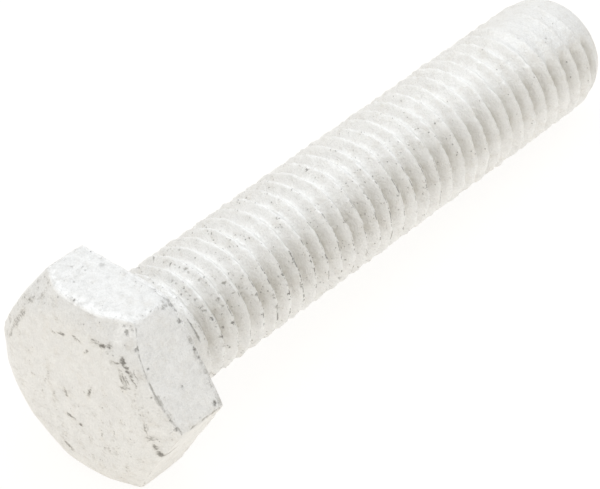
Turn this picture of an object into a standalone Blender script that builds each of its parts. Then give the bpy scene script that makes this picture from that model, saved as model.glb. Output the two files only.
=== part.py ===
"""Hex bolt, threaded to the head: M12 x 1.75, 60 mm long, for a 19 mm spanner.

The bolt lies along +X with its bearing face in the plane X = 0. The head is on the -X side and
the threaded shank on the +X side. One pair of the head's flats is level, facing +Z and -Z.
Lengths are in metres and angles are in degrees.
"""

import math

import bmesh
import bpy
from mathutils import Vector

# Head
ACROSS_FLATS = 0.0188
HEAD_HEIGHT = 0.0075
CROWN_DIAMETER = 0.0158
CROWN_CHAMFER = 30.0
REAR_BEVEL = 0.0005
WASHER_FACE_DIAMETER = 0.0172
WASHER_FACE_HEIGHT = 0.0004

# Shank and thread
LENGTH = 0.060
CREST_DIAMETER = 0.0119
PITCH = 0.00175
THREAD_ANGLE = 60.0
THREAD_PHASE = 0.00055
CREST_FLAT = 0.00022
ROOT_FLAT = 0.00030
NECK_FILLET = 0.0006
NECK_LENGTH = 0.0006
RUNOUT_LENGTH = 0.0016
TIP_ROUND_LENGTH = 0.0033
TIP_FACE_DIAMETER = 0.0097

# Facets
SIDES = 30
FILLET_STEPS = 3
SNAP_SHARE = 0.25
MERGE_DISTANCE = 0.000001
SHARP_ANGLE = 15.0

# Zinc coat
ZINC_COLOUR = (0.78, 0.78, 0.76, 1.0)
ZINC_ROUGHNESS = 0.55
ZINC_METALLIC = 0.6

# What the crest and root flats leave of the pitch is shared by two flanks, whose slope gives the depth.
FLANK_LENGTH = (PITCH - CREST_FLAT - ROOT_FLAT) / 2
THREAD_DEPTH = FLANK_LENGTH / math.tan(math.radians(THREAD_ANGLE / 2))
CREST_RADIUS = CREST_DIAMETER / 2
NECK_RADIUS = CREST_RADIUS - THREAD_DEPTH / 2
SHANK_START = NECK_FILLET
HEX_CORNERS = 6
TURN = 2 * math.pi


def clear_scene():
    for old in list(bpy.data.objects):
        bpy.data.objects.remove(old, do_unlink=True)


def at(axial, radius, angle):
    return Vector((axial, radius * math.cos(angle), radius * math.sin(angle)))


def angle_of(point):
    return math.atan2(point.z, point.y)


def eased(share):
    share = min(max(share, 0.0), 1.0)
    return share * share * (3 - 2 * share)


def hexagon_radius(angle, across_flats):
    """How far the hexagon's side is from the axis at this angle. One of its corners is at angle 0."""
    sector = TURN / HEX_CORNERS
    return across_flats / 2 / math.cos(angle % sector - sector / 2)


def tip_limit(axial):
    """The rounded end: an arc that leaves the crests smoothly and ends at the rim of the end face."""
    along = axial - (LENGTH - TIP_ROUND_LENGTH)
    if along <= 0:
        return CREST_RADIUS
    drop = CREST_RADIUS - TIP_FACE_DIAMETER / 2
    arc = (TIP_ROUND_LENGTH**2 + drop**2) / (2 * drop)
    return CREST_RADIUS - arc + math.sqrt(arc**2 - along**2)


def shank_radius(axial, thread_radius):
    """The thread runs out into the neck near the head, and the rounded end cuts it down to its rim."""
    if axial >= LENGTH:
        return TIP_FACE_DIAMETER / 2
    share = eased((axial - SHANK_START - NECK_LENGTH) / RUNOUT_LENGTH)
    return min(NECK_RADIUS + (thread_radius - NECK_RADIUS) * share, tip_limit(axial))


def thread_outline():
    """One side of the thread as a zigzag of (axial, radius), in whole pitches and longer than the shank."""
    root_radius = CREST_RADIUS - THREAD_DEPTH
    half_crest = CREST_FLAT / 2
    turn_shape = (
        (-half_crest, CREST_RADIUS),
        (half_crest, CREST_RADIUS),
        (half_crest + FLANK_LENGTH, root_radius),
        (half_crest + FLANK_LENGTH + ROOT_FLAT, root_radius),
    )
    first_turn = math.floor((SHANK_START - THREAD_PHASE) / PITCH) - 1
    last_turn = math.ceil((LENGTH - THREAD_PHASE) / PITCH) + 1
    outline = []
    for turn in range(first_turn, last_turn):
        crest = THREAD_PHASE + turn * PITCH
        outline += [(crest + along, radius) for along, radius in turn_shape]
    return outline


def add_thread(bm):
    """Spins the zigzag once round while it moves by one pitch, so each turn ends where the next starts."""
    verts = [bm.verts.new(at(axial, radius, 0.0)) for axial, radius in thread_outline()]
    edges = [bm.edges.new(pair) for pair in zip(verts, verts[1:])]
    bmesh.ops.spin(
        bm,
        geom=verts + edges,
        cent=(0, 0, 0),
        axis=(1, 0, 0),
        dvec=(PITCH / SIDES, 0, 0),
        angle=TURN,
        steps=SIDES,
    )
    bmesh.ops.remove_doubles(bm, verts=bm.verts, dist=MERGE_DISTANCE)


def trim_thread(bm):
    """Moves what lies past the neck or the end face on to it, where the spare turns merge into one ring."""
    snap = SNAP_SHARE * min(CREST_FLAT, ROOT_FLAT)
    for vert in bm.verts:
        axial = vert.co.x
        if axial < SHANK_START + snap:
            axial = SHANK_START
        elif axial > LENGTH - snap:
            axial = LENGTH
        thread_radius = math.hypot(vert.co.y, vert.co.z)
        vert.co = at(axial, shank_radius(axial, thread_radius), angle_of(vert.co))
    bmesh.ops.remove_doubles(bm, verts=bm.verts, dist=MERGE_DISTANCE)


def open_edges(bm, axial):
    """The open edges that lie in the plane across the axis at this height."""
    return [
        edge
        for edge in bm.edges
        if edge.is_boundary and all(abs(vert.co.x - axial) < MERGE_DISTANCE for vert in edge.verts)
    ]


def head_stations():
    """Functions of the angle that give (axial, radius), from the neck's fillet to the crown's rim."""
    slope = math.tan(math.radians(CROWN_CHAMFER))
    crown_radius = CROWN_DIAMETER / 2
    washer_radius = WASHER_FACE_DIAMETER / 2

    def fillet(step):
        bend = math.pi / 2 * step / FILLET_STEPS
        axial = NECK_FILLET * (1 - math.sin(bend))
        radius = NECK_RADIUS + NECK_FILLET * (1 - math.cos(bend))
        return lambda angle: (axial, radius)

    def front_edge(angle):
        radius = hexagon_radius(angle, ACROSS_FLATS)
        return slope * (radius - crown_radius) - HEAD_HEIGHT, radius

    return [fillet(step) for step in range(1, FILLET_STEPS + 1)] + [
        lambda angle: (0.0, washer_radius),
        lambda angle: (-WASHER_FACE_HEIGHT, washer_radius),
        lambda angle: (-WASHER_FACE_HEIGHT, hexagon_radius(angle, ACROSS_FLATS - 2 * REAR_BEVEL)),
        lambda angle: (-WASHER_FACE_HEIGHT - REAR_BEVEL, hexagon_radius(angle, ACROSS_FLATS)),
        front_edge,
        lambda angle: (-HEAD_HEIGHT, crown_radius),
    ]


def add_head(bm):
    """Extrudes the neck's open edge from station to station, then closes the crown."""
    rim = open_edges(bm, SHANK_START)
    for station in head_stations():
        made = bmesh.ops.extrude_edge_only(bm, edges=rim)["geom"]
        rim = [item for item in made if isinstance(item, bmesh.types.BMEdge)]
        for vert in {vert for edge in rim for vert in edge.verts}:
            angle = angle_of(vert.co)
            vert.co = at(*station(angle), angle)
    bmesh.ops.edgeloop_fill(bm, edges=rim)


def zinc_coat():
    coat = bpy.data.materials.new("zinc_coat")
    coat.use_nodes = True
    shader = coat.node_tree.nodes["Principled BSDF"]
    shader.inputs["Base Color"].default_value = ZINC_COLOUR
    shader.inputs["Roughness"].default_value = ZINC_ROUGHNESS
    shader.inputs["Metallic"].default_value = ZINC_METALLIC
    return coat


def hex_bolt():
    bm = bmesh.new()
    add_thread(bm)
    trim_thread(bm)
    bmesh.ops.edgeloop_fill(bm, edges=open_edges(bm, LENGTH))
    add_head(bm)
    bmesh.ops.recalc_face_normals(bm, faces=bm.faces)
    mesh = bpy.data.meshes.new("hex_bolt")
    bm.to_mesh(mesh)
    bm.free()
    mesh.shade_smooth()
    mesh.set_sharp_from_angle(angle=math.radians(SHARP_ANGLE))
    mesh.materials.append(zinc_coat())
    bolt = bpy.data.objects.new("hex_bolt", mesh)
    bpy.context.scene.collection.objects.link(bolt)


clear_scene()
hex_bolt()
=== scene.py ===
import bmesh
import bpy
import math
from mathutils import Euler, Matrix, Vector, noise


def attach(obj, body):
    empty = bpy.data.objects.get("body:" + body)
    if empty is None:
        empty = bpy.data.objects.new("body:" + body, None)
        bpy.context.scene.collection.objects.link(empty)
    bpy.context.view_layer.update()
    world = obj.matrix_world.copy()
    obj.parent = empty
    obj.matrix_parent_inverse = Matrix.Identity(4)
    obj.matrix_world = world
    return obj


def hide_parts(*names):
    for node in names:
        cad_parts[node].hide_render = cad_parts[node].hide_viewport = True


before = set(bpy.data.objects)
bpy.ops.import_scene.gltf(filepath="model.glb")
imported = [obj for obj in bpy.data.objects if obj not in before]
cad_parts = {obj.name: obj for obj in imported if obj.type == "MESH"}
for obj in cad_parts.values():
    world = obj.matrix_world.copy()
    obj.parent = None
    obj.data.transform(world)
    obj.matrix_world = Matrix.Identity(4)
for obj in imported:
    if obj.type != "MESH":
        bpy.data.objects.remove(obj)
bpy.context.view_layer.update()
print("frame loaded:", ", ".join(sorted(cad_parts)))

fullTurn = 2 * math.pi
sixth = fullTurn / 6

# The bolt in metres and degrees, the same sizes as the solid it stands for
bolt = {
    "acrossFlats": 0.0188,
    "cornerRound": 0.0008,       # where two flats meet
    "edgeRounds": (0.0005, 0.00065, 0.0004, 0.0005, 0.0005, 0.0005),  # where each flat meets the chamfer
    "headHeight": 0.0075,
    "crownDiameter": 0.0158,
    "crownChamfer": 30.0,
    "frontCuts": (0.0003, 0.0009, 0.0005, 0.0001, 0.0003, 0.0003),  # how far each front corner is worn back
    "cutReach": 15.0,            # degrees to each side of the corner
    "rearBevels": (0.00015, 0.00014, 0.0003, 0.00009, 0.00015, 0.00015),  # at each corner, from angle 0
    "rearRounds": (0.0014, 0.0010, 0.0046, 0.0003, 0.0012, 0.0014),
    "rearReach": 0.0022,         # how far forward the rounding goes
    "bandWidth": 0.00036,        # the rough strip along the rear of each flat
    "washerDiameter": 0.0172,
    "washerHeight": 0.0004,
    "washerRounds": (0.00012, 0.00008),  # at its rim and at its foot
    "rimRound": 0.0008,          # where the chamfer meets the crown
    "length": 0.060,
    "crestDiameter": 0.0119,
    "pitch": 0.00175,
    "threadDepth": 0.001065,
    "threadPhase": 0.00055,
    "neckFillet": 0.0006,
    "neckLength": 0.0006,
    "runout": 0.0016,
    "tipRound": 0.0033,
    "tipFace": 0.0097,
    "tipBend": 0.00025,          # the end face's soft rim
    "topFill": 0.20,             # how far zinc fills the grooves on the upper side
    "topSide": (10, 45, 105, 132),
    "tipFill": 0.93,             # and at the end
    "tipSide": (5, 40, 133, 149),
    "tipFillStart": 0.0120,      # from the end face, where the filling starts
    "tipFillEase": 0.0060,
    "tipFillWave": 0.0012,
    "neckFill": 0.92,            # and between the head and the first whole ridge
    "neckSide": (30, 60, 195, 230),
    "fillBelow": 0.05,           # the filling stops this share of the depth below the crests
    "sides": 180,
    "cornerCrowding": 1.4,       # how far columns crowd towards the head's corners
    "turnRings": 6,              # rings over which the columns take their places
    "endRings": 14,
    "snap": 0.00003,             # a ring takes in thread points this near
    "weld": 0.0000005,
}

# One turn of thread under its zinc: place along the pitch, height between root and crest
threadTurn = (
    (0.0, 1.0),
    (0.00007, 0.975),
    (0.00017, 0.86),
    (0.00035, 0.56),
    (0.00055, 0.25),
    (0.00072, 0.07),
    (0.000875, 0.015),
    (0.00103, 0.07),
    (0.00120, 0.25),
    (0.00140, 0.56),
    (0.00158, 0.86),
    (0.00168, 0.975),
)


def at(axial, radius, angle):
    return Vector((axial, radius * math.cos(angle), radius * math.sin(angle)))


def angleOf(point):
    return math.atan2(point.z, point.y)


def eased(share):
    share = min(max(share, 0.0), 1.0)
    return share * share * (3 - 2 * share)


def neckRadius():
    return (bolt["crestDiameter"] - bolt["threadDepth"]) / 2


def tipLimit(axial):
    # the rounded end, an arc from the crests to the end face's rim
    crest = bolt["crestDiameter"] / 2
    along = axial - (bolt["length"] - bolt["tipRound"])
    if along <= 0:
        return crest
    drop = crest - bolt["tipFace"] / 2
    arc = (bolt["tipRound"] ** 2 + drop ** 2) / (2 * drop)
    return crest - arc + math.sqrt(arc ** 2 - along ** 2)


def bend(before, corner, after, reach, steps, onward=1.0):
    # a soft corner: points on a curve that leaves one side and joins the next, where its reach may differ
    corner = Vector(corner)
    start = corner + (Vector(before) - corner).normalized() * reach
    end = corner + (Vector(after) - corner).normalized() * reach * onward
    points = []
    for step in range(steps + 1):
        t = step / steps
        points.append(start * (1 - t) ** 2 + corner * 2 * t * (1 - t) + end * t ** 2)
    return points


def run(start, end, steps):
    # points strictly between two ends
    return [Vector(start).lerp(Vector(end), step / steps) for step in range(1, steps)]


def headAngle(angle):
    # columns crowd towards the hexagon's corners, where the flats turn
    half = sixth / 2
    offset = (angle + half) % sixth - half
    return angle - offset + math.copysign(half * (abs(offset) / half) ** bolt["cornerCrowding"], offset)


def cornerOffset(angle):
    return abs((angle + sixth / 2) % sixth - sixth / 2)


def hexRadius(angle, rounding):
    # distance from the axis to a hexagon with rounded corners, one corner at angle 0
    half, flat = sixth / 2, bolt["acrossFlats"] / 2
    offset = cornerOffset(angle)
    if math.tan(half - offset) < (flat - rounding) * math.tan(half) / flat:
        return flat / math.cos(half - offset)
    reach = (flat - rounding) / math.cos(half)
    return reach * math.cos(offset) + math.sqrt(max(rounding ** 2 - (reach * math.sin(offset)) ** 2, 0.0))


def cornerRounding(angle, axial):
    # the corners are rounder at the rear, each by its own amount
    worn = bolt["rearRounds"][round(angle / sixth) % 6]
    share = eased(1 + (axial + bolt["washerHeight"]) / bolt["rearReach"])
    return bolt["cornerRound"] + (worn - bolt["cornerRound"]) * share


def around(values, turn):
    # a value that eases from each of six to the next, round the head
    first = math.floor(turn)
    share = eased(turn - first)
    return values[first % 6] * (1 - share) + values[(first + 1) % 6] * share


def headOutline(angle):
    # (axial, radius) and zone, from the neck's fillet over the head to the middle of its crown
    washer, bevel = bolt["washerDiameter"] / 2, around(bolt["rearBevels"], angle / sixth)
    crown, height = bolt["crownDiameter"] / 2, bolt["headHeight"]
    neck, rear = neckRadius(), -bolt["washerHeight"]
    wide = hexRadius(angle, bolt["cornerRound"])
    worn = hexRadius(angle, cornerRounding(angle, rear))
    front = math.tan(math.radians(bolt["crownChamfer"])) * (wide - crown) - height
    cut = bolt["frontCuts"][round(angle / sixth) % 6]
    front += cut * eased(1 - cornerOffset(angle) / math.radians(bolt["cutReach"]))
    fillet = bolt["neckFillet"]
    inner, outer, step = (0.0, neck + fillet), (0.0, washer), (rear, washer)
    backEdge, rearEdge = (rear, worn - bevel), (rear - bevel, worn)
    frontEdge, rim, middle = (front, wide), (-height, crown), (-height, 0.0)
    stripEnd = Vector((rearEdge[0] - bolt["bandWidth"], worn))
    edgeRound = around(bolt["edgeRounds"], angle / sixth - 0.5)
    washerRim, washerFoot = bolt["washerRounds"]
    # each soft corner with its zone, and the zone and steps of what runs on to the next
    bends = (
        ("neck", bend((fillet, neck), (0.0, neck), inner, fillet, 4)[1:], "bearing", 4),
        ("bearing", bend(inner, outer, step, washerRim, 2), "bearing", 1),
        ("bearing", bend(outer, step, backEdge, washerFoot, 2), "bearing", 3),
        ("band", bend(step, backEdge, rearEdge, bevel * 0.4, 3), "band", 2),
        ("band", bend(backEdge, rearEdge, frontEdge, bevel * 0.5, 3), "band", 5),
        ("strip", [stripEnd], "flat", 11),
        ("edge", bend(rearEdge, frontEdge, rim, edgeRound, 6, 0.4), "chamfer", 8),
        ("rim", bend(frontEdge, rim, middle, bolt["rimRound"], 4), "crown", 30),
    )
    outline = []
    for index, (zone, soft, nextZone, steps) in enumerate(bends):
        ahead = bends[index + 1][1][0] if index + 1 < len(bends) else middle
        for place, point in enumerate(soft):
            outline.append((point, "line" if zone == "edge" and 2 <= place <= 3 else zone))
        outline += [(point, nextZone) for point in run(soft[-1], ahead, steps)]
    for point, zone in outline:
        if zone in ("strip", "flat"):
            point.y = hexRadius(angle, cornerRounding(angle, point.x))
    return outline


def ring(bm, edges):
    made = bmesh.ops.extrude_edge_only(bm, edges=edges)["geom"]
    return [item for item in made if isinstance(item, bmesh.types.BMEdge)]


def vertsOf(edges):
    return {vert for edge in edges for vert in edge.verts}


def closeRing(bm, edges, axial):
    # the last ring is drawn to a point on the axis
    last = list(vertsOf(ring(bm, edges)))
    bmesh.ops.pointmerge(bm, verts=last, merge_co=(axial, 0, 0))


headZones = ("band", "strip", "flat", "edge", "line", "chamfer", "rim", "crown")


def extrudeHead(bm):
    # the neck's ring is drawn out ring after ring, each column along its own outline
    spacing = fullTurn / bolt["sides"]
    column = bm.verts.layers.int.new("column")
    zones = {zone: bm.verts.layers.float.new(zone) for zone in headZones}
    bmesh.ops.create_circle(bm, segments=bolt["sides"], radius=neckRadius())
    for vert in bm.verts:
        vert[column] = round(math.atan2(vert.co.y, vert.co.x) % fullTurn / spacing) % bolt["sides"]
        vert.co = at(bolt["neckFillet"], neckRadius(), vert[column] * spacing)
    edges = list(bm.edges)
    turned = [headAngle(index * spacing) for index in range(bolt["sides"])]
    outlines = [headOutline(angle) for angle in turned]
    for step in range(len(outlines[0])):
        edges = ring(bm, edges)
        mix = eased((step + 1) / bolt["turnRings"])
        for vert in vertsOf(edges):
            index = vert[column]
            (axial, radius), zone = outlines[index][step]
            vert.co = at(axial, radius, index * spacing + (turned[index] - index * spacing) * mix)
            for name, layer in zones.items():
                vert[layer] = float(name == zone)
    closeRing(bm, edges, -bolt["headHeight"])


def spinThread(bm):
    # a zigzag longer than the shank goes once round while it moves by one pitch
    pitch, phase, sides = bolt["pitch"], bolt["threadPhase"], bolt["sides"]
    crest = bolt["crestDiameter"] / 2
    height = bm.verts.layers.float.new("crest")
    first = math.floor((bolt["neckFillet"] - phase) / pitch) - 1
    last = math.ceil((bolt["length"] - phase) / pitch) + 1
    verts = []
    for turn in range(first, last):
        for along, share in threadTurn:
            radius = crest - bolt["threadDepth"] * (1 - share)
            verts.append(bm.verts.new(at(phase + turn * pitch + along, radius, 0.0)))
            verts[-1][height] = share
    edges = [bm.edges.new(pair) for pair in zip(verts, verts[1:])]
    bmesh.ops.spin(
        bm, geom=verts + edges, cent=(0, 0, 0), axis=(1, 0, 0),
        dvec=(pitch / sides, 0, 0), angle=fullTurn, steps=sides,
    )
    bmesh.ops.remove_doubles(bm, verts=bm.verts, dist=bolt["weld"])


def facing(angle, first, full, last, none):
    # 1 between two angles in degrees, easing to 0 outside them
    turn = math.degrees(angle) % 360
    return eased((turn - first) / (full - first)) * (1 - eased((turn - last) / (none - last)))


def firstRidge(angle):
    # where the first whole ridge lies along the bolt
    return bolt["threadPhase"] + bolt["pitch"] * (1 + angle % fullTurn / fullTurn)


def grooveFill(axial, angle):
    # zinc lies thicker in the grooves on the upper side, and hides them at the end and next to the head
    top = bolt["topFill"] * facing(angle, *bolt["topSide"])
    reach = bolt["length"] - axial + bolt["tipFillWave"] * math.sin(3 * angle)
    tip = bolt["tipFill"] * facing(angle, *bolt["tipSide"])
    tip *= eased((bolt["tipFillStart"] - reach) / bolt["tipFillEase"])
    neck = bolt["neckFill"] * facing(angle, *bolt["neckSide"]) * (axial < firstRidge(angle))
    return max(top, tip, neck)


def trimThread(bm):
    # spare turns move on to the neck's ring or the end's, the thread runs out and the end is rounded
    start, end = bolt["neckFillet"], bolt["length"] - bolt["tipBend"]
    height = bm.verts.layers.float["crest"]
    for vert in bm.verts:
        axial = vert.co.x
        if axial < start + bolt["snap"]:
            axial = start
        elif axial > end - bolt["snap"]:
            axial = end
        share = eased((axial - start - bolt["neckLength"]) / bolt["runout"])
        radius = neckRadius() + (math.hypot(vert.co.y, vert.co.z) - neckRadius()) * share
        if axial == end:
            radius = tipLimit(end)
        vert[height] *= share
        angle, limit = angleOf(vert.co), tipLimit(axial)
        radius = min(radius, limit)
        if start < axial < end:
            room = max(limit - bolt["threadDepth"] * bolt["fillBelow"] - radius, 0.0)
            radius += room * grooveFill(axial, angle) * share
        vert.co = at(axial, radius, angle)
    bmesh.ops.remove_doubles(bm, verts=bm.verts, dist=bolt["weld"])


def closeEnd(bm):
    end, length = bolt["length"] - bolt["tipBend"], bolt["length"]
    height = bm.verts.layers.float["crest"]
    edges = [
        edge for edge in bm.edges
        if edge.is_boundary and all(abs(vert.co.x - end) < bolt["weld"] for vert in edge.verts)
    ]
    corner, middle = (length, bolt["tipFace"] / 2), (length, 0.0)
    soft = bend((end, tipLimit(end)), corner, middle, bolt["tipBend"], 3)[1:]
    for axial, radius in soft + run(soft[-1], middle, bolt["endRings"]):
        edges = ring(bm, edges)
        for vert in vertsOf(edges):
            vert.co = at(axial, radius, angleOf(vert.co))
            vert[height] = 0.0
    closeRing(bm, edges, length)


# How far the zinc departs from a clean shape: size of a bump and its height in metres, shift of the pattern
zincRelief = {
    "crestLumps": (0.0011, 0.000095, 0.0),
    "crestGrain": (0.00038, 0.000100, 7.7),
    "crestDrift": (0.0030, 0.000140, 5.3),
    "grooveFill": (0.0040, 0.000170, 3.1),
    "headSwell": (0.0032, 0.000040, 1.7),
    "headGrain": (0.0012, 0.000022, 4.2),
    "bandGrain": (0.0008, 0.000130, 9.3),
    "edgeNicks": (0.0012, 0.000110, 2.9),
}
grooveLumps = 0.3                # share of the lumps that the grooves get
stillEnd = 0.001                 # the crests don't drift this near the end

# Small beads of zinc on the thread: place along the bolt, angle, size, height
zincBeads = (
    (0.00947, 206, 0.00050, 0.00016), (0.03606, 60, 0.00045, 0.00013), (0.03067, 130, 0.00035, 0.00012),
    (0.03180, 133, 0.00040, 0.00010), (0.01400, 118, 0.00035, 0.00010), (0.00720, 128, 0.00035, 0.00011),
    (0.02210, 103, 0.00040, 0.00010), (0.04420, 112, 0.00035, 0.00009), (0.05180, 98, 0.00040, 0.00010),
    (0.02655, 88, 0.00045, 0.00012), (0.01870, 300, 0.00045, 0.00014), (0.04010, 255, 0.00040, 0.00012),
    (0.03390, 350, 0.00045, 0.00013), (0.01130, 20, 0.00040, 0.00012), (0.04790, 180, 0.00035, 0.00010),
)


def lump(point, kind):
    size, high, shift = zincRelief[kind]
    return noise.noise(point / size + Vector((shift, shift * 0.7, shift * 1.3))) * high


def beadOn(point, beads):
    high = 0.0
    for centre, size, rise in beads:
        share = 1 - (point - centre).length_squared / size ** 2
        if share > 0:
            high += rise * share * share
    return high


def layZinc(bm):
    # lumps and hollows of the dipped coat, outwards on the thread and inwards on the head
    bm.normal_update()
    layers = bm.verts.layers.float
    crest = bolt["crestDiameter"] / 2
    beads = [(at(axial, crest, math.radians(angle)), size, rise) for axial, angle, size, rise in zincBeads]
    moves = []
    for vert in bm.verts:
        place = vert.co.copy()
        if place.x > bolt["neckFillet"] + bolt["weld"]:
            share = vert[layers["crest"]]
            fill = max(lump(place, "grooveFill"), 0.0) * (1 - share)
            lumps = lump(place, "crestLumps") + lump(place, "crestGrain")
            away = fill + lumps * (grooveLumps + (1 - grooveLumps) * share) + beadOn(place, beads)
            if place.x > bolt["length"] - bolt["tipRound"]:
                away = min(away, 0.0)
            drift = lump(place, "crestDrift") * share if place.x < bolt["length"] - stillEnd else 0.0
            moves.append((vert, vert.normal * away + Vector((drift, 0, 0))))
        elif place.x < 0:
            deep = lump(place, "headSwell") + lump(place, "headGrain")
            deep -= zincRelief["headSwell"][1] + zincRelief["headGrain"][1]
            deep -= abs(lump(place, "bandGrain")) * (vert[layers["band"]] + 0.5 * vert[layers["strip"]])
            deep -= abs(lump(place, "edgeNicks")) * (vert[layers["edge"]] + vert[layers["line"]])
            moves.append((vert, vert.normal * deep))
    for vert, move in moves:
        vert.co += move


# Where the coat is worn, soiled and pitted on the head, and where highlights are painted on its edges, flats,
# corners and rear band, as shares that the material reads.
# Flats are numbered from angle 0. A side is a range of angles in degrees: none, full, full, none.
headMarks = {
    "frontGrime": {2: 0.15, 3: 0.85, 4: 0.6},  # along each flat's front edge
    "frontSpecks": 0.6,
    # painted highlights along the flats' front edges, on the rear band, on the flats and at the corners
    "frontHighlight": {2: 1.0, 3: 0.3, 4: 0.2},
    "frontCleaner": 0.18,        # the upper part of the right flat's front edge
    "frontCleanSide": (110, 118, 132, 146),
    "lowEdgeGrime": 0.62,
    "lowEdgeSide": (145, 160, 178, 180),
    "stripGrime": {2: 0.35, 3: 0.66},
    "stripCleanSide": (110, 118, 132, 140),
    "bandGrime": {2: 0.3, 3: 0.72},
    "bandCleanSide": (110, 118, 134, 142),
    "rearCleaner": 0.4,          # the strip and the band near the upper right corner
    "bandSpecks": 0.9,
    "bandHighlight": 0.6,
    "flatSpecks": 0.08,
    "flatHighlight": {2: 0.28, 3: 0.2},
    "cornerReach": 2.2,          # degrees to each side of a corner between two flats
    "cornerSpecks": 0.5,
    "cornerGrime": 0.8,          # at the corner on the right
    "cornerHighlight": 0.8,          # painted highlight at the other corners
    "facetReach": 5.0,           # degrees of painted highlight on the chamfer at the upper right corner
    "chamferSpecks": 0.2,
    "leftSpecks": 0.5,
    "leftSpeckSide": (-1, 0, 60, 85),
    "leftGrime": 0.56,
    "leftGrimeSide": (-1, 0, 55, 80),
    "rimGrime": {2: 0.2, 3: 0.5, 4: 0.4},
    "crownSpecks": 0.09,
    "lowCrownSpecks": 0.2,
    "lowCrownEase": 0.012,
}

# The same on the thread, with painted highlights on the crests and painted shade in the grooves, along the crests
# and in the crease by the head. Tables give a share at a place along the bolt in metres.
threadWear = {
    "specks": ((0.0, 1.1), (0.009, 1.3), (0.014, 0.9), (0.022, 0.7),
               (0.036, 0.4), (0.044, 0.1), (0.060, 0.05)),
    "grooveSpecks": 0.5,         # share of the specks that the grooves get
    # a broken line of painted shade along the crests, on the lower side
    "crestShade": ((0.0, 0.6), (0.009, 0.75), (0.013, 1.0), (0.021, 1.0),
             (0.030, 0.8), (0.040, 0.4), (0.060, 0.22)),
    "crestShadeSide": (112, 142, 190, 235),
    "crestShadeBeside": 0.4,           # share just off the crest line
    "crestTop": 0.9,             # height from which a crest is rubbed, gets its painted highlight and its line of painted shade
    "crestLine": 0.99,
    # painted highlight along the crests, strongest on the upper side; the least share, on every side, stands for
    # rubbed zinc
    "crestHighlight": 0.45,
    "rubbedLeast": 0.15,
    "crestLitSide": (30, 106, 122, 145),
    "collarHighlight": 0.8,          # painted highlight between the head and the first whole ridge
    "collarSide": (80, 98, 128, 142),
    "creaseBehind": 0.00057,     # painted shade in the crease in front of that ridge
    "creaseHalf": 0.00008,
    "creaseGrime": 0.95,
    "creaseSide": (126, 138, 156, 166),
    # painted shade in the grooves and on the crests' shoulders, strongest on the lower side
    "grooveShadeLeast": 0.12,
    "grooveShadeSide": (118, 150, 166, 198),
    "grooveShadePower": 1.5,
    "filledShade": 0.32,
    "shoulderShade": 0.3,
    "shoulderShadeStart": 0.7,
    "shoulderShadeSide": (122, 145, 162, 188),
}

# Dark spots on the first threads in millimetres: along the bolt, angle, size, strength
flankSpots = (
    (4.12, 95, 0.26, 0.95), (4.10, 98, 0.26, 0.95), (4.14, 103, 0.28, 0.95), (4.19, 115, 0.31, 1.00),
    (4.32, 120, 0.30, 1.00), (4.35, 125, 0.35, 1.05), (4.17, 127, 0.26, 0.95), (4.40, 134, 0.35, 1.05),
    (4.29, 137, 0.30, 1.00), (4.43, 138.5, 0.30, 1.00), (5.85, 58, 0.28, 0.95), (5.73, 72, 0.30, 1.00),
    (5.76, 80, 0.26, 0.90), (5.83, 85, 0.27, 0.90), (5.81, 90.5, 0.28, 0.95), (5.87, 95.5, 0.36, 1.05),
    (6.16, 97, 0.30, 1.00), (5.87, 101, 0.30, 1.00), (5.98, 107, 0.28, 0.95), (6.05, 113, 0.35, 1.05),
    (5.98, 119, 0.34, 1.00), (6.08, 131, 0.38, 1.00), (6.26, 136, 0.35, 1.05), (6.24, 139, 0.34, 1.00),
    (6.30, 144, 0.30, 1.00), (6.33, 149, 0.30, 1.00), (7.95, 117.5, 0.35, 1.05), (7.85, 128, 0.31, 1.00),
    (7.86, 131, 0.30, 1.00), (9.74, 115, 0.30, 1.00), (7.97, 140, 0.31, 1.00), (4.83, 166, 0.31, 1.00),
    (4.64, 164.5, 0.26, 0.95), (4.67, 173, 0.28, 0.95), (4.63, 179, 0.28, 0.95),
)


crestMm = bolt["crestDiameter"] * 500  # the crests' radius in millimetres


def spotted(place, angle):
    # how dark the spots on the first threads make this place
    most = 0.0
    for axial, turn, size, strength in flankSpots:
        aside = (angle - math.radians(turn)) * crestMm
        most = max(most, strength * eased(1 - math.hypot(place.x * 1000 - axial, aside) / size))
    return most


def between(stops, place):
    for (low, first), (high, last) in zip(stops, stops[1:]):
        if place <= high:
            return first + (last - first) * (place - low) / (high - low)
    return stops[-1][1]


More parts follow.
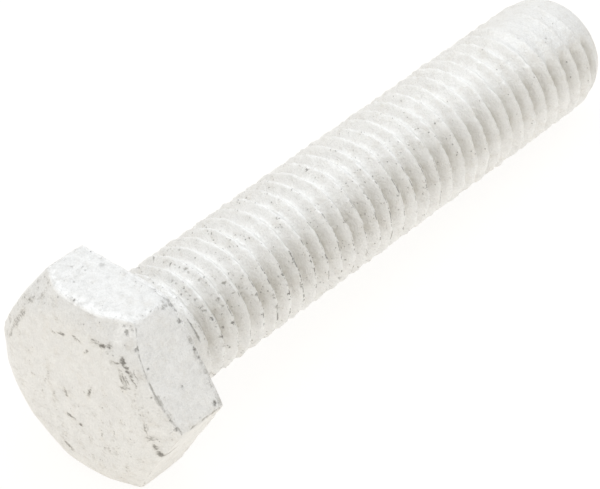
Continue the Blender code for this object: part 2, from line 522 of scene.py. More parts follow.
def markThread(vert, angle, crest, marks):
    place, height, told = vert.co, vert[crest], threadWear
    fill, ridge = grooveFill(place.x, angle), firstRidge(angle)
    onTop = eased((height - told["crestTop"]) / (1 - told["crestTop"]))
    vert[marks["thread"]] = 1.0
    least = told["grooveSpecks"]
    vert[marks["specks"]] = between(told["specks"], place.x) * (least + (1 - least) * height)
    # painted shade along the crest lines on the lower side
    if height > told["crestTop"]:
        side = 1.0 if height > told["crestLine"] else told["crestShadeBeside"]
        vert[marks["crestShade"]] = side * between(told["crestShade"], place.x) * facing(angle, *told["crestShadeSide"])
    # painted highlight along the crests, mostly on the upper side, and on the collar by the head
    least = told["rubbedLeast"]
    rubbedAndLit = onTop * (least + (1 - least) * facing(angle, *told["crestLitSide"]))
    vert[marks["highlight"]] = told["crestHighlight"] * rubbedAndLit * (1 - fill)
    if place.x < ridge:
        vert[marks["highlight"]] = told["collarHighlight"] * facing(angle, *told["collarSide"])
    vert[marks["grimeAndShade"]] = spotted(place, angle)
    # painted shade in the crease between the head and the first whole ridge, carried with the grime
    if abs(ridge - told["creaseBehind"] - place.x) < told["creaseHalf"]:
        vert[marks["grimeAndShade"]] = told["creaseGrime"] * facing(angle, *told["creaseSide"])
    # painted shade: darker deep in the grooves and on the crests' shoulders, strongest on the lower side, with some
    # over the filled grooves at the end and by the head
    if place.x < bolt["length"] - bolt["tipBend"] - bolt["weld"]:
        least = told["grooveShadeLeast"]
        shadeBySide = least + (1 - least) * facing(angle, *told["grooveShadeSide"])
        shoulder = eased((height - told["shoulderShadeStart"]) / (1 - told["shoulderShadeStart"]))
        depth = (1 - height) ** told["grooveShadePower"] * shadeBySide * (1 - fill)
        depth += told["filledShade"] * max(fill - bolt["topFill"], 0.0)
        vert[marks["depth"]] = depth + told["shoulderShade"] * shoulder * facing(angle, *told["shoulderShadeSide"])


def markHead(vert, angle, zones, marks):
    told, flat, corner = headMarks, math.floor(angle / sixth) + 1, round(angle / sixth) % 6
    offset = math.degrees(cornerOffset(angle))
    nearCorner = max(1 - offset / told["cornerReach"], 0.0)
    here = {name for name, layer in zones.items() if vert[layer]}
    # the shine share holds painted highlights; grime and specks are the coat's own marks
    grimeAndShade = highlight = specks = 0.0
    if here & {"line", "edge"}:
        if "line" in here:
            cleaner = told["frontCleaner"] * facing(angle, *told["frontCleanSide"])
            grimeAndShade = told["frontGrime"].get(flat, 0.5) * (1 - cleaner)
            specks = told["frontSpecks"]
        highlight = told["frontHighlight"].get(flat, 0.5)
        grimeAndShade = max(grimeAndShade, told["lowEdgeGrime"] * facing(angle, *told["lowEdgeSide"]))
    elif "strip" in here:
        cleaner = told["rearCleaner"] * facing(angle, *told["stripCleanSide"])
        grimeAndShade = told["stripGrime"].get(flat, 0.5) * (1 - cleaner)
        specks = told["bandSpecks"]
    elif "band" in here:
        cleaner = told["rearCleaner"] * facing(angle, *told["bandCleanSide"])
        grimeAndShade = told["bandGrime"].get(flat, 0.4) * (1 - cleaner)
        highlight, specks = told["bandHighlight"], told["bandSpecks"]
    elif "flat" in here:
        specks = told["flatSpecks"] + told["cornerSpecks"] * nearCorner
        highlight = told["flatHighlight"].get(flat, 0.0)
        if corner == 3:
            grimeAndShade = told["cornerGrime"] * nearCorner
        else:
            highlight = max(highlight, told["cornerHighlight"] * nearCorner)
    elif "chamfer" in here:
        specks = told["chamferSpecks"] + told["leftSpecks"] * facing(angle, *told["leftSpeckSide"])
        grimeAndShade = told["leftGrime"] * facing(angle, *told["leftGrimeSide"])
        highlight = max(1 - offset / told["facetReach"], 0.0) * (corner == 2)
    elif "rim" in here:
        grimeAndShade, specks = told["rimGrime"].get(flat, 0.3), told["chamferSpecks"]
    elif "crown" in here:
        specks = told["crownSpecks"] + told["lowCrownSpecks"] * eased(0.5 - vert.co.z / told["lowCrownEase"])
    vert[marks["grimeAndShade"]], vert[marks["highlight"]], vert[marks["specks"]] = grimeAndShade, highlight, specks


coatMarks = ("grimeAndShade", "highlight", "specks", "thread", "depth", "crestShade")


def markCoat(bm):
    layers = bm.verts.layers.float
    for name in coatMarks:
        layers.new(name)
    marks = {name: layers[name] for name in coatMarks}
    zones = {name: layers[name] for name in headZones}
    crest = layers["crest"]
    for vert in bm.verts:
        angle = angleOf(vert.co) % fullTurn
        if vert.co.x > bolt["neckFillet"] / 2:
            markThread(vert, angle, crest, marks)
        else:
            markHead(vert, angle, zones, marks)
    for name in headZones + ("crest",):
        layers.remove(layers[name])
    bm.verts.layers.int.remove(bm.verts.layers.int["column"])


def makeBolt():
    head, thread = bmesh.new(), bmesh.new()
    extrudeHead(head)
    print("head:", len(head.faces), "faces")
    spinThread(thread)
    trimThread(thread)
    closeEnd(thread)
    print("thread:", len(thread.faces), "faces")
    mesh = bpy.data.meshes.new("hexBolt")
    thread.to_mesh(mesh)
    thread.free()
    head.from_mesh(mesh)
    bmesh.ops.remove_doubles(head, verts=head.verts, dist=bolt["weld"])
    bmesh.ops.recalc_face_normals(head, faces=head.faces)
    layZinc(head)
    markCoat(head)
    head.to_mesh(mesh)
    head.free()
    mesh.shade_smooth()
    piece = bpy.data.objects.new("hexBolt", mesh)
    bpy.context.scene.collection.objects.link(piece)
    print("bolt:", len(mesh.polygons), "faces")
    return piece


def addNode(tree, kind, inputs=None, **settings):
    # a node whose inputs are plain values, or outputs of other nodes
    node = tree.nodes.new(kind)
    for name, value in settings.items():
        setattr(node, name, value)
    for socket, value in (inputs or {}).items():
        if isinstance(value, bpy.types.NodeSocket):
            tree.links.new(value, node.inputs[socket])
        else:
            node.inputs[socket].default_value = value
    return node


def calc(tree, operation, first, *others):
    # a Math node, or a chain of them where there are more than two values
    for other in others or (0.0,):
        first = addNode(tree, "ShaderNodeMath", {0: first, 1: other}, operation=operation).outputs["Value"]
    return first


def weighted(tree, *terms):
    # the sum of values, each times its weight
    return calc(tree, "ADD", *(calc(tree, "MULTIPLY", value, weight) for value, weight in terms))


def moved(tree, operation, inputs):
    return addNode(tree, "ShaderNodeVectorMath", inputs, operation=operation).outputs["Vector"]


def drawnOut(tree, vector, turn, scale):
    inputs = {"Vector": vector, "Rotation": turn, "Scale": scale}
    return addNode(tree, "ShaderNodeMapping", inputs).outputs["Vector"]


def scaleTo(tree, value, low, high, toLow=0.0, toHigh=1.0):
    inputs = {"Value": value, "From Min": low, "From Max": high, "To Min": toLow, "To Max": toHigh}
    return addNode(tree, "ShaderNodeMapRange", inputs, interpolation_type="SMOOTHSTEP").outputs["Result"]


def grainOf(tree, vector, grain, output="Fac"):
    # a grain is a noise's scale per mm, its detail and its roughness
    inputs = dict(zip(("Scale", "Detail", "Roughness"), grain))
    return addNode(tree, "ShaderNodeTexNoise", {"Vector": vector, **inputs}).outputs[output]


def ragged(tree, vector, grain, amount):
    # the place moved by a noise, so that the edges of marks get ragged
    wobble = grainOf(tree, vector, grain, "Color")
    return moved(tree, "MULTIPLY_ADD", {0: wobble, 1: (amount,) * 3, 2: vector})


def tint(tree, amount, under, over, blend="MIX"):
    inputs = {"Factor": amount, "A": under, "B": over}
    return addNode(tree, "ShaderNodeMix", inputs, data_type="RGBA", blend_type=blend).outputs["Result"]


def newGroup(name, inputs, outputs):
    tree = bpy.data.node_groups.new(name, "ShaderNodeTree")
    for socket, kind in inputs:
        tree.interface.new_socket(socket, in_out="INPUT", socket_type=kind)
    for socket, kind in outputs:
        tree.interface.new_socket(socket, in_out="OUTPUT", socket_type=kind)
    return tree, addNode(tree, "NodeGroupInput"), addNode(tree, "NodeGroupOutput")


# Specks: kinds are cells per mm, size of a speck and share of the density
specking = {
    "kinds": ((3.8, 0.34, 1.0), (1.4, 0.2, 0.5)),
    "grain": (6.0, 2.0, 0.7),
    "ragged": 0.32,
    "smallest": 0.35,
    "soft": 0.45,
}


def speckGroup():
    # dark specks, one to a cell, of mixed sizes and only in the share of cells that the density asks for
    tree, given, made = newGroup(
        "zincSpecks",
        (("Vector", "NodeSocketVector"), ("Cells", "NodeSocketFloat"), ("Density", "NodeSocketFloat"),
         ("Size", "NodeSocketFloat")),
        (("Mask", "NodeSocketFloat"),),
    )
    bent = ragged(tree, given.outputs["Vector"], specking["grain"], specking["ragged"])
    cells = addNode(tree, "ShaderNodeTexVoronoi", {"Vector": bent, "Scale": given.outputs["Cells"]})
    chance = addNode(tree, "ShaderNodeSeparateColor", {"Color": cells.outputs["Color"]})
    share = scaleTo(tree, chance.outputs["Green"], 0.0, 1.0, specking["smallest"], 1.0)
    size = calc(tree, "MULTIPLY", given.outputs["Size"], share)
    inside = calc(tree, "SUBTRACT", 1.0, calc(tree, "DIVIDE", cells.outputs["Distance"], size))
    spot = scaleTo(tree, inside, 0.0, specking["soft"])
    there = calc(tree, "LESS_THAN", chance.outputs["Red"], given.outputs["Density"])
    tree.links.new(calc(tree, "MULTIPLY", spot, there), made.inputs["Mask"])
    return tree


# Scuffs on the crown and its chamfer in millimetres: y, z, length, width, turn from +Y, strength
crownScuffs = (
    (5.6, 6.75, 0.9, 0.35, -20, 0.8), (4.5, 5.6, 0.4, 0.3, 0, 0.6), (2.3, 5.5, 1.1, 0.3, 14, 0.75),
    (1.3, 5.85, 1.0, 0.38, -17, 0.95), (-0.45, 6.2, 1.1, 0.3, 12, 0.85), (-1.6, 5.4, 0.85, 0.28, -49, 0.85),
    (-2.7, 7.05, 1.0, 0.5, 10, 0.85), (-3.5, 7.0, 0.9, 0.4, -10, 1.0), (-4.15, 7.15, 0.5, 0.35, 0, 0.95),
    (-5.6, 7.6, 1.6, 0.45, -10, 0.45), (-5.2, 8.8, 0.5, 0.45, 0, 0.7), (-5.6, 6.3, 0.9, 0.42, 48, 1.0),
    (-6.1, 5.7, 0.9, 0.38, 50, 0.95), (-6.7, 4.9, 1.4, 0.2, 52, 0.88), (-6.2, 4.7, 1.1, 0.2, 52, 0.85),
    (-5.4, 5.4, 0.55, 0.35, 80, 0.75), (-5.6, 4.5, 0.8, 0.2, 68, 0.88), (-5.75, 3.7, 0.85, 0.35, -15, 0.95),
    (-7.3, 5.2, 0.9, 0.45, -20, 0.6), (-1.65, 0.9, 1.5, 0.32, -70, 0.9), (1.25, -0.75, 1.0, 0.35, 68, 0.9),
    (0.85, -3.2, 1.1, 0.35, 9, 0.95), (-0.3, -3.5, 0.5, 0.3, -20, 1.0), (1.35, -6.9, 1.4, 0.4, 26, 0.9),
    (-1.6, -6.3, 0.35, 0.3, 0, 0.75), (-2.4, -6.9, 0.4, 0.4, 0, 0.6), (-5.6, -5.4, 0.7, 0.32, 100, 0.75),
    (0.0, -5.8, 0.7, 0.25, 100, 0.6), (-8.5, -0.7, 1.1, 0.7, -30, 0.78), (-8.65, -1.7, 0.9, 0.4, 80, 0.95),
    (-9.0, -2.5, 0.8, 0.5, 60, 1.0), (3.5, 0.8, 0.45, 0.35, 0, 0.55), (-0.8, -1.1, 0.6, 0.25, -30, 0.5),
    (-2.7, -3.9, 0.7, 0.25, -30, 0.55), (-1.4, -4.9, 0.6, 0.3, 80, 0.5), (-3.6, -4.7, 0.9, 0.3, 60, 0.5),
    (7.0, 4.0, 3.0, 0.6, 118, 0.78), (6.2, 5.3, 1.6, 0.6, 125, 0.78), (7.9, 2.3, 1.8, 0.45, 112, 0.75),
    (-6.0, -2.2, 0.9, 0.2, 70, 0.45), (2.9, -2.6, 0.8, 0.3, -35, 0.5), (3.3, 0.3, 2.2, 0.3, 94, 0.68),
    (2.7, -1.8, 1.6, 0.3, 65, 0.66), (-7.6, 3.2, 1.8, 0.16, 60, 0.35), (-8.2, 1.6, 1.2, 0.16, 70, 0.35),
    (-5.1, 6.0, 0.9, 0.18, -7, 0.85), (-5.9, 4.8, 1.5, 0.16, 65, 0.9), (-6.3, 3.9, 1.0, 0.18, -3, 0.85),
    (-7.2, 5.6, 1.5, 0.3, 43, 0.6), (-6.9, 5.3, 1.2, 0.15, 58, 0.85), (-8.0, 0.3, 1.9, 0.15, 82, 0.82),
)


scuffing = {
    "grain": (2.6, 3.0, 0.55),
    "ragged": 0.5,
    "lengthShare": 0.6,
    "widthShare": 0.7,
    "reach": (1.9, 0.2),         # where a scuff ends and where it is full, in its own lengths and widths
    "front": (-4.6, -5.2),       # x where scuffs start and where they are full
    "strokeTurn": (0.95, 0, 0),
    "strokeScale": (1.0, 0.5, 1.5),
    "strokeGrain": (5.0, 4.0, 0.75),
    "body": 0.5,                 # a scuff's own part against the strokes that break it
    "broken": (0.76, 1.02),
}


def scuffGroup():
    # dark rubs broken by strokes, and a soft halo round each
    tree, given, made = newGroup(
        "crownScuffs",
        (("Vector", "NodeSocketVector"),),
        (("Mask", "NodeSocketFloat"), ("Halo", "NodeSocketFloat")),
    )
    place = given.outputs["Vector"]
    bent = ragged(tree, place, scuffing["grain"], scuffing["ragged"])
    bent = moved(tree, "SUBTRACT", {0: bent, 1: (scuffing["ragged"] / 2,) * 3})
    total = 0.0
    for y, z, length, width, turn, strength in crownScuffs:
        size = (1000, length * scuffing["lengthShare"], width * scuffing["widthShare"])  # any depth
        inputs = {"Vector": bent, "Location": (0, y, z), "Rotation": (math.radians(turn), 0, 0), "Scale": size}
        placed = addNode(tree, "ShaderNodeMapping", inputs, vector_type="TEXTURE").outputs["Vector"]
        reach = addNode(tree, "ShaderNodeVectorMath", {0: placed}, operation="LENGTH").outputs["Value"]
        total = calc(tree, "MAXIMUM", total, scaleTo(tree, reach, *scuffing["reach"], 0.0, strength))
    axes = addNode(tree, "ShaderNodeSeparateXYZ", {"Vector": place})
    onHead = scaleTo(tree, axes.outputs["X"], *scuffing["front"])
    drawn = drawnOut(tree, place, scuffing["strokeTurn"], scuffing["strokeScale"])
    strokes = grainOf(tree, drawn, scuffing["strokeGrain"])
    mark = calc(tree, "ADD", calc(tree, "MULTIPLY", total, scuffing["body"]), strokes)
    mark = scaleTo(tree, mark, *scuffing["broken"])
    tree.links.new(calc(tree, "MULTIPLY", mark, onHead, total), made.inputs["Mask"])
    tree.links.new(calc(tree, "MULTIPLY", total, onHead), made.inputs["Halo"])
    return tree


# Single pits in millimetres: (x, y, z), size and strength
pits = (
    ((-3.6, -9.04, 3.14), 0.17, 0.7), ((-1.04, -6.48, 7.36), 0.3, 0.8), ((-0.77, -5.07, 8.67), 0.34, 0.6),
    ((-1.3, -10.35, 0.5), 0.34, 0.95), ((-1.1, -10.5, -0.1), 0.26, 0.8), ((-5.95, -10.35, 0.6), 0.26, 0.9),
    ((-6.2, -9.99, 1.5), 0.24, 0.9), ((-1.5, 2.0, 9.36), 0.4, 0.3), ((-2.8, 3.0, 9.36), 0.15, 0.4),
    ((-3.4, 3.7, 9.36), 0.16, 0.4), ((-2.9, 2.5, 9.36), 0.14, 0.4), ((-4.7, 2.2, 9.36), 0.17, 0.4),
    ((-1.4, -5.2, 9.2), 0.36, 0.6), ((-6.1, -6.3, 7.4), 0.25, 0.7), ((-6.0, -7.3, 5.7), 0.22, 0.7),
    ((-1.04, -4.74, 8.89), 0.24, 0.5), ((-0.80, -5.44, 8.43), 0.32, 0.7), ((-1.05, -5.42, 8.51), 0.3, 0.6),
    ((-1.60, -5.49, 8.84), 0.24, 0.5), ((-2.01, -5.59, 8.91), 0.24, 0.5), ((-0.83, -5.89, 8.11), 0.2, 0.5),
    ((-0.84, -7.92, 4.93), 0.26, 0.8), ((-0.78, -8.34, 4.19), 0.26, 0.8), ((-5.82, -4.68, 8.87), 0.2, 0.5),
    ((-5.92, -5.00, 8.51), 0.24, 0.7), ((-5.99, -5.15, 8.31), 0.2, 0.6), ((-5.59, -5.41, 8.75), 0.2, 0.5),
)
threadPits = (  # along the bolt, angle, size, strength
    (4.52, 147, 0.26, 0.95), (6.52, 162, 0.2, 0.95), (20.1, 120, 0.15, 0.7), (21.9, 129, 0.16, 0.8),
    (30.6, 132, 0.18, 0.7), (32.3, 136, 0.17, 0.8), (28.9, 149, 0.15, 0.5), (29.1, 156, 0.15, 0.5),
    (30.6, 144, 0.16, 0.5), (33.6, 151, 0.17, 0.6), (36.9, 169, 0.17, 0.5), (12.7, 159, 0.14, 0.6),
    (13.5, 152, 0.17, 0.9), (13.55, 163, 0.16, 0.9), (13.52, 172, 0.17, 0.9), (13.6, 178, 0.16, 0.8),
    (15.27, 146, 0.16, 0.9), (17.0, 158, 0.16, 0.9), (15.3, 174, 0.15, 0.7), (10.0, 153, 0.15, 0.7),
    (11.7, 162, 0.15, 0.7), (11.9, 175, 0.16, 0.8), (10.1, 173, 0.16, 0.8), (54.2, 118, 0.17, 0.5),
    (9.5, 204, 0.2, 0.9), (51.8, 103, 0.15, 0.4),
)


pitting = {
    "grain": (4.5, 4.0, 0.7),
    "ragged": 0.7,
    "below": 0.08,               # mm from the crests down to the centre of a pit on the thread
    "core": 0.3,                 # share of a pit that is fully dark
}


def pitGroup():
    tree, given, made = newGroup(
        "zincPits", (("Vector", "NodeSocketVector"),), (("Mask", "NodeSocketFloat"),))
    bent = ragged(tree, given.outputs["Vector"], pitting["grain"], pitting["ragged"])
    bent = moved(tree, "SUBTRACT", {0: bent, 1: (pitting["ragged"] / 2,) * 3})
    radius = crestMm - pitting["below"]
    onThread = [(at(axial, radius, math.radians(angle)), *rest) for axial, angle, *rest in threadPits]
    total = 0.0
    for centre, size, strength in list(pits) + onThread:
        inputs = {0: bent, 1: tuple(centre)}
        reach = addNode(tree, "ShaderNodeVectorMath", inputs, operation="DISTANCE").outputs["Value"]
        total = calc(tree, "MAXIMUM", total, scaleTo(tree, reach, size, size * pitting["core"], 0.0, strength))
    tree.links.new(total, made.inputs["Mask"])
    return tree


# The zinc coat: colours in linear light, grains, and how much each layer shows.
# An edge is where something starts and where it is full, at times with the two values it takes there.
zinc = {
    "headColour": (0.815, 0.812, 0.802, 1),
    "threadColour": (0.91, 0.906, 0.894, 1),
    "warmColour": (0.66, 0.61, 0.53, 1),
    # the colour of the painted shade in the grooves
    "grooveShadeColour": (0.57, 0.545, 0.49, 1),
    # the colour of grime and of the painted shade in the crease by the head
    "grimeAndShadeColour": (0.24, 0.225, 0.195, 1),
    "pitColour": (0.10, 0.092, 0.078, 1),
    # the colour of the painted highlights
    "highlightColour": (0.955, 0.953, 0.945, 1),
    "broad": (0.38, 4.0, 0.6),
    "cloud": (1.3, 5.0, 0.68),
    "fine": (5.5, 3.0, 0.65),
    "streak": (0.8, 5.0, 0.72),
    "contour": (1.1, 3.0, 0.6),
    "contourTurn": (0.85, 0.3, 0.2),
    "contourScale": (1.0, 0.45, 1.5),
    "scratchEdge": (0.05, 0.01),
    "scratchStreaks": (0.46, 0.62),
    "scratchSpecks": (0.06, 0.3),
    "scratches": 0.2,
    "speckStreaks": (0.49, 0.62, 0.03, 2.2),
    "specks": 0.6,
    # the line of painted shade along the crests
    "crestShadeEdge": (0.25, 0.75),
    "crestShadeBreaks": (0.548, 0.608),
    "crestShadeGrain": (0.5, 0.6),     # streak, cloud
    "crestShade": 0.85,
    "soiledCloud": 2.0,
    "soiledEdge": (1.5, 2.05),
    "soiledStart": (0.05, 0.5),
    "mottle": (0.12, 0.28, 0.32),  # broad, cloud, fine
    "mottleBase": 0.645,
    "threadMottle": 0.7,
    "stains": (0.46, 0.72, 0.0, 0.24),
    "halo": 0.2,
    # patchiness of the painted shade in the grooves and of the painted highlights
    "grooveShadeCloud": (0.3, 0.7, 0.5, 0.9),
    "highlightCloud": (0.38, 0.58, 0.1, 1.0),
    "grimeAndShade": 0.6,
    "dark": 0.8,
    "headRough": 0.46,
    "threadRough": 0.54,
    "roughCloud": 0.25,
    "highlightSmooth": 0.1,
    "soiledDull": 0.7,
    "dulledRough": 0.3,
    "headMetal": 0.25,
    "threadMetal": 0.7,
    "dulledMetal": 0.8,
    "relief": (1.2, 1.6),        # fine, cloud
    "bumpStrength": 0.8,
    "bumpDistance": 0.00010,
}


def zincCoat():
    coat = bpy.data.materials.new("zincCoat")
    coat.use_nodes = True
    tree = coat.node_tree
    shader = tree.nodes["Principled BSDF"]
    place = addNode(tree, "ShaderNodeTexCoord").outputs["Object"]
    mm = moved(tree, "SCALE", {0: place, "Scale": 1000.0})
    share = {name: addNode(tree, "ShaderNodeAttribute", attribute_name=name).outputs["Fac"] for name in coatMarks}
    broad, cloud, fine, streak = (grainOf(tree, mm, zinc[name]) for name in ("broad", "cloud", "fine", "streak"))
    contour = grainOf(tree, drawnOut(tree, mm, zinc["contourTurn"], zinc["contourScale"]), zinc["contour"])
    offLine = calc(tree, "ABSOLUTE", calc(tree, "SUBTRACT", contour, 0.5))
    scratch = calc(
        tree, "MULTIPLY",
        scaleTo(tree, offLine, *zinc["scratchEdge"]),
        scaleTo(tree, streak, *zinc["scratchStreaks"]),
        scaleTo(tree, share["specks"], *zinc["scratchSpecks"]),
        scaleTo(tree, share["thread"], 1.0, 0.0),
    )

    # dark marks: scuffs, single pits, specks of two sizes, a line of painted shade along the crests, and soiled
    # edges with painted shade in the crease by the head
    scuffs, holes = (
        addNode(tree, "ShaderNodeGroup", node_tree=made) for made in (scuffGroup(), pitGroup()))
    for node in (scuffs, holes):
        tree.links.new(mm, node.inputs["Vector"])
    group = speckGroup()
    density = calc(tree, "MULTIPLY", share["specks"], scaleTo(tree, streak, *zinc["speckStreaks"]))
    dots = []
    for cells, size, part in specking["kinds"]:
        node = addNode(tree, "ShaderNodeGroup", node_tree=group)
        tree.links.new(mm, node.inputs["Vector"])
        tree.links.new(calc(tree, "MULTIPLY", density, part), node.inputs["Density"])
        node.inputs["Cells"].default_value = cells
        node.inputs["Size"].default_value = size
        dots.append(node.outputs["Mask"])
    dots = calc(tree, "MAXIMUM", *dots)
    # painted shade along the crests, broken into dashes
    breaks = weighted(tree, *zip((streak, cloud), zinc["crestShadeGrain"]))
    crestShade = calc(tree, "MULTIPLY", scaleTo(tree, share["crestShade"], *zinc["crestShadeEdge"]),
                scaleTo(tree, breaks, *zinc["crestShadeBreaks"]))
    # the coat's grime, with the painted shade of the crease by the head
    soiled = calc(tree, "ADD", share["grimeAndShade"], calc(tree, "MULTIPLY", cloud, zinc["soiledCloud"]))
    soiled = calc(tree, "MULTIPLY", scaleTo(tree, soiled, *zinc["soiledEdge"]),
                  scaleTo(tree, share["grimeAndShade"], *zinc["soiledStart"]))
    dark = calc(
        tree, "MAXIMUM",
        scuffs.outputs["Mask"],
        holes.outputs["Mask"],
        calc(tree, "MULTIPLY", crestShade, zinc["crestShade"]),
        calc(tree, "MULTIPLY", scratch, zinc["scratches"]),
        calc(tree, "MULTIPLY", dots, zinc["specks"]),
    )

    # colour: pale zinc, mottled, warmer in stains, with painted shade in the grooves and painted highlights on the
    # crests and the head
    colour = tint(tree, share["thread"], zinc["headColour"], zinc["threadColour"])
    level = weighted(tree, *zip((broad, cloud, fine), zinc["mottle"]))
    level = calc(tree, "ADD", level, zinc["mottleBase"])
    mottled = scaleTo(tree, share["thread"], 0.0, 1.0, 1.0, zinc["threadMottle"])
    colour = tint(tree, mottled, colour, level, "MULTIPLY")
    # painted shade in the grooves, patchy with the cloud
    low = calc(tree, "MULTIPLY", share["depth"], scaleTo(tree, cloud, *zinc["grooveShadeCloud"]))
    # painted highlight, patchy with the cloud
    paintedHighlight = calc(tree, "MULTIPLY", share["highlight"], scaleTo(tree, cloud, *zinc["highlightCloud"]))
    for amount, over in (
        (scaleTo(tree, streak, *zinc["stains"]), zinc["warmColour"]),
        (calc(tree, "MULTIPLY", scuffs.outputs["Halo"], zinc["halo"]), zinc["warmColour"]),
        (low, zinc["grooveShadeColour"]),
        (paintedHighlight, zinc["highlightColour"]),
        (calc(tree, "MULTIPLY", soiled, zinc["grimeAndShade"]), zinc["grimeAndShadeColour"]),
        (calc(tree, "MULTIPLY", dark, zinc["dark"]), zinc["pitColour"]),
    ):
        colour = tint(tree, amount, colour, over)
    tree.links.new(colour, shader.inputs["Base Color"])

    # dull where it is soiled, pitted or painted with shade, smoother under the painted highlights
    dulled = calc(tree, "MAXIMUM", dark, calc(tree, "MULTIPLY", soiled, zinc["soiledDull"]))
    rough = scaleTo(tree, share["thread"], 0.0, 1.0, zinc["headRough"], zinc["threadRough"])
    rough = calc(tree, "ADD", rough, calc(tree, "MULTIPLY", calc(tree, "SUBTRACT", cloud, 0.5), zinc["roughCloud"]))
    rough = calc(tree, "SUBTRACT", rough, calc(tree, "MULTIPLY", paintedHighlight, zinc["highlightSmooth"]))
    rough = calc(tree, "ADD", rough, calc(tree, "MULTIPLY", dulled, zinc["dulledRough"]))
    tree.links.new(rough, shader.inputs["Roughness"])
    metal = scaleTo(tree, share["thread"], 0.0, 1.0, zinc["headMetal"], zinc["threadMetal"])
    kept = calc(tree, "SUBTRACT", 1.0, calc(tree, "MULTIPLY", dulled, zinc["dulledMetal"]))
    tree.links.new(calc(tree, "MULTIPLY", metal, kept), shader.inputs["Metallic"])

    height = weighted(tree, *zip((fine, cloud), zinc["relief"]))
    height = calc(tree, "SUBTRACT", height, calc(tree, "MAXIMUM", dots, holes.outputs["Mask"], soiled))
    bump = addNode(tree, "ShaderNodeBump", {
        "Strength": zinc["bumpStrength"], "Distance": zinc["bumpDistance"], "Height": height})
    tree.links.new(bump.outputs["Normal"], shader.inputs["Normal"])
    return coat


hexBolt = makeBolt()
hexBolt.data.materials.append(zincCoat())
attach(hexBolt, "root")
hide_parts("hex_bolt")
print("zinc coat made")

# A glowing white sheet, at the slope that the bolt takes as it lies on its head's rear edge and its end,
# and the darker bench past the sheet's edge on the camera's right
table = {
    "size": 3.0,
    "headTouch": (-0.0009, -0.0094),
    "endTouch": (0.0570, -0.00594),
    "colour": (0.97, 0.92, 0.83, 1),
    "glow": 0.28,
    "lift": 0.82,                # how far the sheet is lifted to plain white
    "benchColour": (0.48, 0.455, 0.41, 1),
    "edgeWay": (0.6, -0.8, 0.0),
    "edge": (0.078, 0.098),
}


def patch(tree, way, aim, edge):
    toward = addNode(tree, "ShaderNodeVectorMath", {0: way, 1: aim}, operation="DOT_PRODUCT").outputs["Value"]
    return scaleTo(tree, toward, *edge)


def seenDirectly(tree):
    # 1 for what the camera, a reflection or glass looks at, 0 for light that bounces
    path = addNode(tree, "ShaderNodeLightPath")
    seen = path.outputs["Is Camera Ray"]
    for kind in ("Is Glossy Ray", "Is Transmission Ray"):
        seen = calc(tree, "MAXIMUM", seen, path.outputs[kind])
    return seen


def makeTable():
    bm = bmesh.new()
    bmesh.ops.create_grid(bm, x_segments=1, y_segments=1, size=table["size"] / 2)
    (headX, headZ), (endX, endZ) = table["headTouch"], table["endTouch"]
    slope = math.atan2(endZ - headZ, endX - headX)
    bmesh.ops.rotate(bm, verts=bm.verts, cent=(0, 0, 0), matrix=Euler((0, -slope, 0)).to_matrix())
    bmesh.ops.translate(bm, verts=bm.verts, vec=(headX, 0, headZ))
    mesh = bpy.data.meshes.new("table")
    bm.to_mesh(mesh)
    bm.free()
    piece = bpy.data.objects.new("table", mesh)
    bpy.context.scene.collection.objects.link(piece)
    paint = bpy.data.materials.new("tableTop")
    paint.use_nodes = True
    tree = paint.node_tree
    tree.nodes.clear()
    place = addNode(tree, "ShaderNodeTexCoord").outputs["Object"]
    past = patch(tree, place, table["edgeWay"], table["edge"])
    top = addNode(tree, "ShaderNodeBsdfDiffuse", {"Color": table["colour"]}).outputs["BSDF"]
    glow = addNode(tree, "ShaderNodeEmission", {"Color": table["colour"], "Strength": table["glow"]})
    lit = addNode(tree, "ShaderNodeAddShader", {0: top, 1: glow.outputs["Emission"]}).outputs["Shader"]
    white = addNode(tree, "ShaderNodeEmission").outputs["Emission"]
    amount = calc(tree, "MULTIPLY", seenDirectly(tree), table["lift"])
    sheet = addNode(tree, "ShaderNodeMixShader", {"Fac": amount, 1: lit, 2: white}).outputs["Shader"]
    bench = addNode(tree, "ShaderNodeBsdfDiffuse", {"Color": table["benchColour"]}).outputs["BSDF"]
    both = addNode(tree, "ShaderNodeMixShader", {"Fac": past, 1: sheet, 2: bench}).outputs["Shader"]
    addNode(tree, "ShaderNodeOutputMaterial", {"Surface": both})
    mesh.materials.append(paint)


makeTable()

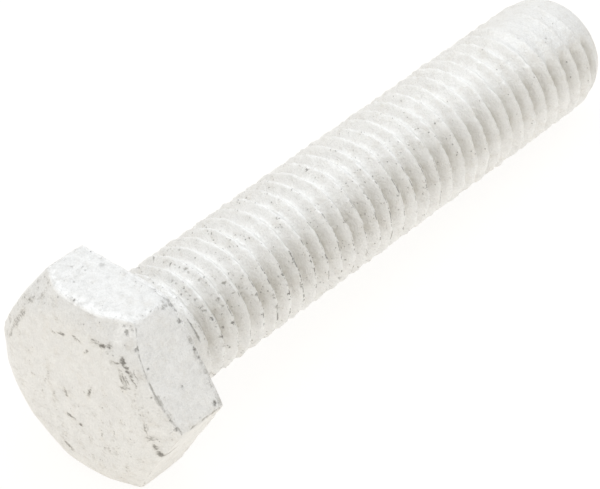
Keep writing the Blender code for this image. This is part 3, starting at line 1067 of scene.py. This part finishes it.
# The room: even light, brighter overhead and behind, dimmer on the camera's right
studio = {
    "room": 0.90,
    "roomColour": (1.0, 0.986, 0.955, 1),
    "panel": 0.24,
    "panelColour": (0.955, 0.985, 1.025, 1),
    "panelAim": (0.5, 0.0, 0.866),
    "panelEdge": (0.64, 0.81),
    "side": -0.20,
    "sideAim": (0.6, -0.8, 0.0),
    "sideEdge": (0.35, 0.9),
}


def makeWorld():
    world = bpy.data.worlds.new("studio")
    bpy.context.scene.world = world
    world.use_nodes = True
    tree = world.node_tree
    way = addNode(tree, "ShaderNodeTexCoord").outputs["Generated"]
    panel = patch(tree, way, studio["panelAim"], studio["panelEdge"])
    side = patch(tree, way, studio["sideAim"], studio["sideEdge"])
    level = weighted(tree, (panel, studio["panel"]), (side, studio["side"]))
    sky = tree.nodes["Background"]
    tree.links.new(tint(tree, panel, studio["roomColour"], studio["panelColour"]), sky.inputs["Color"])
    tree.links.new(calc(tree, "ADD", level, studio["room"]), sky.inputs["Strength"])


makeWorld()

lamp = {
    "place": (0.033, 0.01, 0.126),
    "aim": (0.033, 0.0, 0.0),
    "size": (0.06, 0.10),
    "power": 0.031,
    "colour": (0.94, 0.98, 1.0),
}


def makeLamp():
    data = bpy.data.lights.new("overhead", "AREA")
    data.shape = "RECTANGLE"
    data.size, data.size_y = lamp["size"]
    data.energy = lamp["power"]
    data.color = lamp["colour"]
    light = bpy.data.objects.new("overhead", data)
    light.location = lamp["place"]
    light.rotation_euler = (Vector(lamp["aim"]) - Vector(lamp["place"])).to_track_quat("-Z", "Y").to_euler()
    bpy.context.scene.collection.objects.link(light)


makeLamp()
print("table, room and lamp made")

cameraSet = {
    "place": (-0.156981, -0.159142, 0.188568),
    "turn": (51.5301, 0.7237, -48.8858),
    "lens": 201.506,
    "sensor": 36.0,
    "clip": (0.01, 10.0),
}


def makeCamera():
    data = bpy.data.cameras.new("camera")
    data.lens = cameraSet["lens"]
    data.sensor_width = cameraSet["sensor"]
    data.sensor_fit = "HORIZONTAL"
    data.clip_start, data.clip_end = cameraSet["clip"]
    camera = bpy.data.objects.new("camera", data)
    camera.location = cameraSet["place"]
    camera.rotation_euler = [math.radians(turn) for turn in cameraSet["turn"]]
    bpy.context.scene.collection.objects.link(camera)
    bpy.context.scene.camera = camera


makeCamera()
bpy.context.scene.view_settings.view_transform = "Standard"
